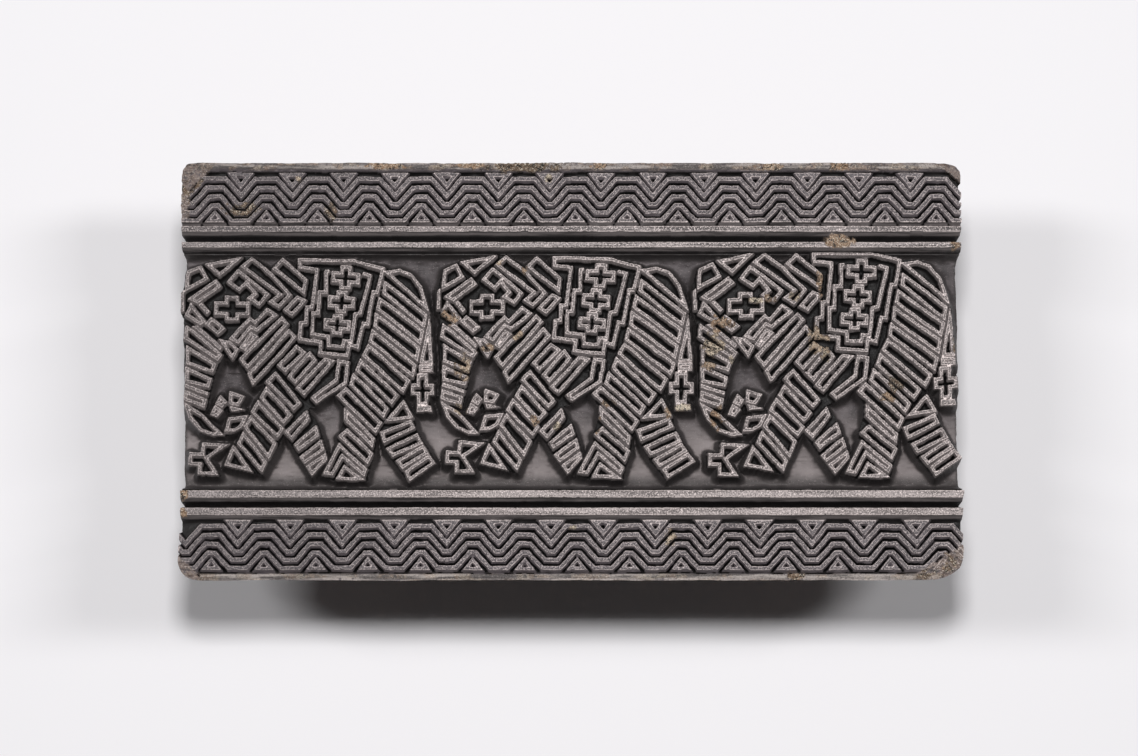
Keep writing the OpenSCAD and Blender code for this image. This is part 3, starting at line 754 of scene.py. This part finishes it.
def forged_nail(length):
    """A nail that stands on its head at the origin."""
    bpy.ops.object.select_all(action="DESELECT")
    head_middle = (0, 0, head_t / 2)
    bpy.ops.mesh.primitive_cylinder_add(vertices=18, radius=head_r, depth=head_t, location=head_middle)
    nail = bpy.context.object
    bpy.ops.object.transform_apply(location=True, rotation=True, scale=True)
    edit_faces(nail, 1)
    bpy.ops.mesh.inset(thickness=head_r - shank_r)
    for rise, narrow in shank_parts:
        drawn = (0, 0, rise * (length - head_t))
        bpy.ops.mesh.extrude_region_move(TRANSFORM_OT_translate={"value": drawn})
        bpy.ops.transform.resize(value=(narrow, narrow, 1))
    bpy.ops.object.mode_set(mode="OBJECT")
    edit_faces(nail, -1)
    bpy.ops.mesh.bevel(offset=0.5 * MM, segments=3, affect="EDGES")
    bpy.ops.object.mode_set(mode="OBJECT")
    place = mesh_points(nail.data) / MM
    hammered = 1 - 0.05 * (1 + uneven(place[:, 0], place[:, 1], size=2.1, seed=60))
    place[:, :2] *= hammered[:, None]
    set_points(nail.data, place)
    return nail


nail_low, nail_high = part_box("bar_nail_1")
first_nail = forged_nail(nail_high.z - nail_low.z)
print("points of a nail:", len(first_nail.data.vertices))

# %% [markdown]
# ## All the nails
#
# Eight copies of the nail go where the solid nails are, each with its own mesh and its own turn,
# and a shallow seat is cut for every head. Then the wooden pieces and the nails are put in place
# of their solids.

# %% Nails in place
nail_nodes = ["bar_nail_%d" % n for n in range(1, 5)] + ["cleat_nail_%d" % n for n in range(1, 5)]
nail_turn = 0.8
# Half of this goes into the wood.
seat_height = 3.6 * MM


def put_in_place(piece, node):
    """Shades a piece, fixes it to the block and lets it stand for its solid."""
    select_only(piece)
    bpy.ops.object.shade_smooth_by_angle(angle=math.radians(35))
    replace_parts(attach(piece, "root"), node)


nails = []
for number, node in enumerate(nail_nodes):
    own_low, own_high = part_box(node)
    head_place = Vector(((own_low.x + own_high.x) / 2, (own_low.y + own_high.y) / 2, own_low.z))
    select_only(first_nail)
    bpy.ops.object.duplicate(linked=False)
    nail = bpy.context.object
    nail.name = "forged_" + node
    nail.rotation_euler = (0, 0, nail_turn * number)
    nail.location = head_place
    bpy.ops.object.transform_apply(location=True, rotation=True, scale=True)
    nails.append(nail)
    bpy.ops.object.select_all(action="DESELECT")
    bpy.ops.mesh.primitive_cylinder_add(
        vertices=24, radius=head_r, depth=seat_height, location=head_place
    )
    seat = bpy.context.object
    cleat = cleats[0] if head_place.x < 0 else cleats[1]
    cut_away(bar if node.startswith("bar") else cleat, seat)
bpy.data.objects.remove(first_nail)
for piece, node in ((bar, "grip_bar"), (cleats[0], "left_cleat"), (cleats[1], "right_cleat")):
    put_in_place(piece, node)
for nail, node in zip(nails, nail_nodes):
    put_in_place(nail, node)
print("nails:", len(nails))

# %% [markdown]
# ## Shader helpers
#
# The finishes are built from a few repeated steps: add a node with its values, turn a range of
# values into a mask, blend two colours, and roughen a surface.


# %% Shader helpers
def feed(tree, socket, value):
    """Links another socket to a socket, or sets its value."""
    if isinstance(value, bpy.types.NodeSocket):
        tree.links.new(value, socket)
    else:
        socket.default_value = value


def add_node(tree, kind, inputs=None, **settings):
    """A shader node with its settings, its values and its incoming links."""
    node = tree.nodes.new(kind)
    for name, value in settings.items():
        setattr(node, name, value)
    for name, value in (inputs or {}).items():
        feed(tree, node.inputs[name], value)
    return node


def blend(tree, share, first, second, mode="MIX"):
    """Colour between the first and the second; sockets 0, 6 and 7 are the share and the colours."""
    node = add_node(tree, "ShaderNodeMix", data_type="RGBA", blend_type=mode)
    feed(tree, node.inputs[0], share)
    for number, colour in ((6, first), (7, second)):
        feed(tree, node.inputs[number], (*colour, 1) if isinstance(colour, tuple) else colour)
    return node.outputs[2]


def mask(tree, value, start, end, low=0.0, high=1.0):
    """A soft step from low to high while the value goes from start to end."""
    limits = {"From Min": start, "From Max": end, "To Min": low, "To Max": high}
    node = add_node(tree, "ShaderNodeMapRange", limits, interpolation_type="SMOOTHSTEP")
    tree.links.new(value, node.inputs["Value"])
    return node.outputs["Result"]


def tint(tree, value, start, end, first, second, most=1.0):
    """The first colour, with more of the second on it the further the value is past start."""
    return blend(tree, mask(tree, value, start, end, low=0.0, high=most), first, second)


def math_node(tree, operation, first, second):
    """The result of one operation on two values or sockets."""
    node = add_node(tree, "ShaderNodeMath", operation=operation)
    feed(tree, node.inputs[0], first)
    feed(tree, node.inputs[1], second)
    return node.outputs[0]


def noise(tree, vector, scale, detail=3.0, roughness=0.6):
    """Noise value at so many features to the metre."""
    inputs = {"Vector": vector, "Scale": scale, "Detail": detail, "Roughness": roughness}
    return add_node(tree, "ShaderNodeTexNoise", inputs).outputs[0]


def roughen(tree, shader, relief, strength, distance):
    """Gives a surface a fine relief."""
    inputs = {"Height": relief, "Strength": strength, "Distance": distance}
    bump = add_node(tree, "ShaderNodeBump", inputs)
    tree.links.new(bump.outputs["Normal"], shader.inputs["Normal"])


def coat(pieces, finish):
    """Gives pieces one finish in place of any other."""
    for piece in pieces:
        piece.data.materials.clear()
        piece.data.materials.append(finish)


print("helpers ready")

# %% [markdown]
# ## Grain of the wood
#
# All the wood here shares one figure: long streaks along the board, and fine specks where pores
# and dust catch the light. It is a node group that takes a place and gives two values.

# %% Grain group
grain_group = bpy.data.node_groups.new("wood_grain", "ShaderNodeTree")
grain_group.interface.new_socket("Place", in_out="INPUT", socket_type="NodeSocketVector")
grain_group.interface.new_socket("Streak", in_out="OUTPUT", socket_type="NodeSocketFloat")
grain_group.interface.new_socket("Speck", in_out="OUTPUT", socket_type="NodeSocketFloat")
grain_in = grain_group.nodes.new("NodeGroupInput").outputs["Place"]
grain_out = grain_group.nodes.new("NodeGroupOutput")
drawn_out = add_node(grain_group, "ShaderNodeVectorMath", operation="MULTIPLY")
drawn_out.inputs[1].default_value = (0.07, 1.0, 1.0)
grain_group.links.new(grain_in, drawn_out.inputs[0])
streak_noise = noise(grain_group, drawn_out.outputs[0], scale=900, detail=4)
speck_noise = noise(grain_group, grain_in, scale=2600, detail=3, roughness=0.7)
grain_group.links.new(streak_noise, grain_out.inputs["Streak"])
grain_group.links.new(speck_noise, grain_out.inputs["Speck"])


def grain(tree, place):
    """The wood grain group in a material: its streak and speck values."""
    node = tree.nodes.new("ShaderNodeGroup")
    node.node_tree = grain_group
    tree.links.new(place, node.inputs["Place"])
    return node.outputs["Streak"], node.outputs["Speck"]


print("group outputs:", [item.name for item in grain_group.interface.items_tree])

# %% [markdown]
# ## Areas of the stained face
#
# Years of printing paste have made the wood almost black, but not evenly. The finish changes with
# the height below the printing plane, with the place on the block and with the values that the
# carving left on each point. Each mask here is one area with soft borders.

# %% Areas of the face
stained, shader = new_finish("stained_wood")
tree = stained.node_tree
place = add_node(tree, "ShaderNodeTexCoord").outputs["Object"]
place_parts = add_node(tree, "ShaderNodeSeparateXYZ", {"Vector": place})
x_place, y_place, z_place = (place_parts.outputs[axis] for axis in "XYZ")
along = math_node(tree, "ABSOLUTE", x_place, 0)
across = math_node(tree, "ABSOLUTE", y_place, 0)
surface = add_node(tree, "ShaderNodeNewGeometry")
facing = add_node(tree, "ShaderNodeSeparateXYZ", {"Vector": surface.outputs["True Normal"]})
facing_up = facing.outputs["Z"]
streak, speck = grain(tree, place)
patch = noise(tree, place, scale=160, detail=3)


def carved_value(name):
    """A value that the carving left on the points of the face."""
    return add_node(tree, "ShaderNodeAttribute", attribute_name=name).outputs["Fac"]


def product(first, *others):
    """Several masks of the face multiplied together."""
    for other in others:
        first = math_node(tree, "MULTIPLY", first, other)
    return first


flank = mask(tree, z_place, 62.0 * MM, 62.7 * MM)
crest = mask(tree, z_place, 63.5 * MM, 63.75 * MM)
open_cut = carved_value("open_ground")
ground = product(mask(tree, z_place, 59.5 * MM, 57.4 * MM), mask(tree, facing_up, 0.4, 0.95), open_cut)
beyond_field = mask(tree, across, 30.2 * MM, 30.6 * MM)
near_rails = mask(tree, y_place, -30.2 * MM, -30.6 * MM)
far_rail = mask(tree, y_place, 35.0 * MM, 35.6 * MM, low=0.0, high=0.35)
on_band = mask(tree, across, 38.4 * MM, 38.9 * MM)
rim = mask(tree, across, 51.7 * MM, 52.2 * MM)
low_ground = mask(tree, y_place, -7 * MM, -21 * MM, low=0.0, high=0.75)
# Two masks for painted shade on the ground: along the foot of the lower rails and at the block's ends.
rail_foot_shade = mask(tree, y_place, -25.5 * MM, -28.5 * MM, low=0.0, high=0.85)
block_end_shade = mask(tree, along, 98.5 * MM, 99.8 * MM)
wear = mask(tree, x_place, -80 * MM, -20 * MM, low=0.65, high=1.0)
little_wear = mask(tree, wear, 0.65, 1.0, low=0.4, high=0.0)
print("nodes for the areas:", len(tree.nodes))

# %% [markdown]
# ## Cuts, ground and flanks
#
# The walls and the narrow cuts are near black: dark stain pooled there, with painted shade in the
# recesses. The floor of the open ground holds grey dust, palest between the feet; along the foot of
# the rails and at the ends of the block it is darkened with painted shade. The flanks of the lines
# are between the two.

# %% Cuts, ground and flanks
# This dark grey is painted shade on the ground.
painted_ground_shade = (0.035, 0.032, 0.031)
flank_grey = (0.14, 0.128, 0.125)
# Near black in the cuts: dark stain pooled there, with painted shade in the recesses.
stain_and_shade_in_cuts = blend(tree, beyond_field, (0.009, 0.008, 0.008), (0.032, 0.029, 0.029))
stain_and_shade_in_cuts = blend(tree, on_band, stain_and_shade_in_cuts, (0.011, 0.01, 0.01))
stain_and_shade_in_cuts = blend(tree, open_cut, stain_and_shade_in_cuts, (0.06, 0.055, 0.054))
dusty = tint(tree, patch, 0.35, 0.65, (0.05, 0.045, 0.046), (0.105, 0.095, 0.097))
dusty = blend(tree, low_ground, dusty, (0.29, 0.265, 0.257))
# Painted shade on the ground along the foot of the rails and at the ends of the block.
dusty = blend(tree, rail_foot_shade, dusty, painted_ground_shade)
dusty = blend(tree, block_end_shade, dusty, painted_ground_shade)
dusty = tint(tree, speck, 0.55, 0.75, dusty, (0.36, 0.33, 0.32), most=0.6)
flank_colour = tint(tree, speck, 0.4, 0.7, flank_grey, (0.24, 0.22, 0.213))
rail_flank = tint(tree, streak, 0.35, 0.6, (0.05, 0.046, 0.045), flank_grey)
flank_colour = blend(tree, beyond_field, flank_colour, rail_flank)
flank_colour = blend(tree, on_band, flank_colour, (0.15, 0.136, 0.142))
print("nodes with the cuts:", len(tree.nodes))

# %% [markdown]
# ## Tops of the lines
#
# The tops are rubbed to a dusty grey, palest along the grain. Their edges are pale from wear, with a
# painted highlight along them, and pale dust specks on them carry painted glints. The rails are
# streaked, the bands darker and the rims weathered grey. The left part of the block is less worn
# than the rest.

# %% Tops of the lines
dark_rail = (0.07, 0.064, 0.063)
rubbed = tint(tree, streak, 0.35, 0.65, (0.105, 0.096, 0.092), (0.215, 0.197, 0.19))
rubbed = tint(tree, patch, 0.4, 0.7, rubbed, (0.16, 0.147, 0.144), most=0.5)
rail_top = tint(tree, streak, 0.42, 0.58, dark_rail, (0.29, 0.266, 0.259))
rail_top = tint(tree, near_rails, 0, 1, rail_top, (0.55, 0.49, 0.46), most=0.2)
rail_top = blend(tree, far_rail, rail_top, dark_rail)
rubbed = blend(tree, beyond_field, rubbed, rail_top)
band_top = tint(tree, streak, 0.35, 0.65, (0.066, 0.06, 0.064), (0.125, 0.114, 0.12))
rubbed = blend(tree, on_band, rubbed, band_top)
rubbed = blend(tree, little_wear, rubbed, (0.08, 0.073, 0.074))
rim_top = tint(tree, streak, 0.4, 0.6, (0.065, 0.059, 0.056), (0.33, 0.305, 0.28))
rubbed = blend(tree, rim, rubbed, rim_top)
# Pale dust specks on the tops, brightened further as painted glints.
dust_specks_and_glints = product(
    mask(tree, speck, 0.5, 0.66),
    mask(tree, on_band, 0, 1, low=0.95, high=0.6),
    wear,
    mask(tree, rim, 0, 1, low=1.0, high=0.3),
)
rubbed = blend(tree, dust_specks_and_glints, rubbed, (0.82, 0.75, 0.715))
rubbed = tint(tree, speck, 0.46, 0.33, rubbed, (0.06, 0.055, 0.055), most=0.8)
# Pale worn edges of the lines, with a painted highlight along them.
worn_edges_and_highlight = product(
    mask(tree, carved_value("worn_edge"), 0.2, 1.0, low=0.0, high=0.9),
    mask(tree, speck, 0.35, 0.49),
    mask(tree, on_band, 0, 1, low=1.0, high=0.85),
    wear,
    mask(tree, rim, 0, 1, low=1.0, high=0.1),
)
rubbed = blend(tree, worn_edges_and_highlight, rubbed, (0.95, 0.87, 0.83))
print("nodes with the tops:", len(tree.nodes))

# %% [markdown]
# ## Bare wood and sides
#
# Bare wood goes from brown through tan to cream with its tone, and is full of dark splinters. The
# sides of the plank are brown, and stain has run down them from the face.

# %% Bare wood and sides
brown_wood, tan_wood, cream_wood = (0.13, 0.095, 0.07), (0.38, 0.25, 0.165), (0.66, 0.57, 0.45)
bare_mask = carved_value("bare")
bare_tone_value = carved_value("bare_tone")
splinter = noise(tree, place, scale=850, detail=5, roughness=0.8)
bare_colour = tint(tree, bare_tone_value, 0.1, 0.55, brown_wood, tan_wood)
bare_colour = tint(tree, bare_tone_value, 0.55, 1.0, bare_colour, cream_wood)
bare_colour = tint(tree, splinter, 0.52, 0.56, bare_colour, (0.12, 0.08, 0.055), most=0.85)
bare_colour = tint(tree, splinter, 0.49, 0.46, bare_colour, (0.015, 0.013, 0.012), most=0.95)
bare_colour = tint(tree, speck, 0.55, 0.64, bare_colour, (0.75, 0.66, 0.54), most=0.8)

on_side = mask(tree, facing_up, 0.03, -0.04)
side_colour = tint(tree, streak, 0.35, 0.65, (0.04, 0.032, 0.028), (0.14, 0.108, 0.085))
side_colour = tint(tree, speck, 0.52, 0.72, side_colour, (0.2, 0.165, 0.14), most=0.5)
run_down = math_node(tree, "ADD", z_place, math_node(tree, "MULTIPLY", patch, 16 * MM))
side_colour = tint(tree, run_down, 58 * MM, 66 * MM, side_colour, (0.03, 0.027, 0.027), most=0.8)
print("nodes with the bare wood:", len(tree.nodes))

# %% [markdown]
# ## The stained finish together
#
# The colours are laid over each other from the deepest cut up to the tops, then the bare wood and
# the sides. The grain and the specks give the surface a fine relief.

# %% Stained wood
colour = blend(tree, ground, stain_and_shade_in_cuts, dusty)
colour = blend(tree, flank, colour, flank_colour)
colour = blend(tree, crest, colour, rubbed)
colour = blend(tree, 1.0, colour, (1.0, 0.955, 0.97), "MULTIPLY")
colour = blend(tree, bare_mask, colour, bare_colour)
colour = blend(tree, on_side, colour, side_colour)
tree.links.new(colour, shader.inputs["Base Color"])
tree.links.new(mask(tree, speck, 0.3, 0.7, low=0.5, high=0.8), shader.inputs["Roughness"])
shader.inputs["Specular IOR Level"].default_value = 0.3
stained_relief = math_node(tree, "ADD", math_node(tree, "MULTIPLY", streak, 0.5), speck)
roughen(tree, shader, stained_relief, strength=0.6, distance=0.12 * MM)
coat(plank_pieces, stained)
print("nodes in the stained finish:", len(tree.nodes))

# %% [markdown]
# ## Handled wood and iron
#
# The wood behind was never inked on purpose. It is brown, darker where hands with paste on them
# held it, with the grain running along each piece. The nails are forged iron, nearly black, with
# some rust.


# %% Handled wood and iron
def handled_wood(name, grain_turn):
    """Brown wood soiled by hands, with its grain turned in the plane of the block."""
    finish, wood_shader = new_finish(name)
    wood_tree = finish.node_tree
    wood_place = add_node(wood_tree, "ShaderNodeTexCoord").outputs["Object"]
    turning = {"Vector": wood_place, "Rotation": (0, 0, grain_turn)}
    turned = add_node(wood_tree, "ShaderNodeMapping", turning)
    wood_streak, wood_speck = grain(wood_tree, turned.outputs["Vector"])
    soil = noise(wood_tree, wood_place, scale=70, detail=4)
    brown = tint(wood_tree, wood_streak, 0.3, 0.7, (0.10, 0.055, 0.032), (0.26, 0.155, 0.09))
    brown = tint(wood_tree, wood_speck, 0.5, 0.8, brown, (0.07, 0.042, 0.028), most=0.5)
    brown = tint(wood_tree, soil, 0.42, 0.68, brown, (0.03, 0.025, 0.022), most=0.85)
    wood_tree.links.new(brown, wood_shader.inputs["Base Color"])
    polish = mask(wood_tree, wood_streak, 0.3, 0.7, low=0.42, high=0.62)
    wood_tree.links.new(polish, wood_shader.inputs["Roughness"])
    fine_relief = math_node(wood_tree, "MULTIPLY", wood_speck, 0.3)
    relief = math_node(wood_tree, "ADD", wood_streak, fine_relief)
    roughen(wood_tree, wood_shader, relief, strength=0.5, distance=0.15 * MM)
    return finish


def forged_iron(name):
    """Nearly black iron with patches of rust."""
    finish, iron_shader = new_finish(name)
    iron_tree = finish.node_tree
    iron_place = add_node(iron_tree, "ShaderNodeTexCoord").outputs["Object"]
    rust = noise(iron_tree, iron_place, scale=700, detail=4)
    iron_colour = tint(iron_tree, rust, 0.42, 0.62, (0.05, 0.044, 0.042), (0.105, 0.052, 0.032))
    iron_tree.links.new(iron_colour, iron_shader.inputs["Base Color"])
    metal = mask(iron_tree, rust, 0.4, 0.65, low=0.8, high=0.1)
    dullness = mask(iron_tree, rust, 0.4, 0.65, low=0.45, high=0.85)
    iron_tree.links.new(metal, iron_shader.inputs["Metallic"])
    iron_tree.links.new(dullness, iron_shader.inputs["Roughness"])
    roughen(iron_tree, iron_shader, rust, strength=0.5, distance=0.2 * MM)
    return finish


coat([bar], handled_wood("handled_wood_x", 0))
coat(cleats, handled_wood("handled_wood_y", math.pi / 2))
coat(nails, forged_iron("nail_iron"))
print("finishes:", [material.name for material in bpy.data.materials])
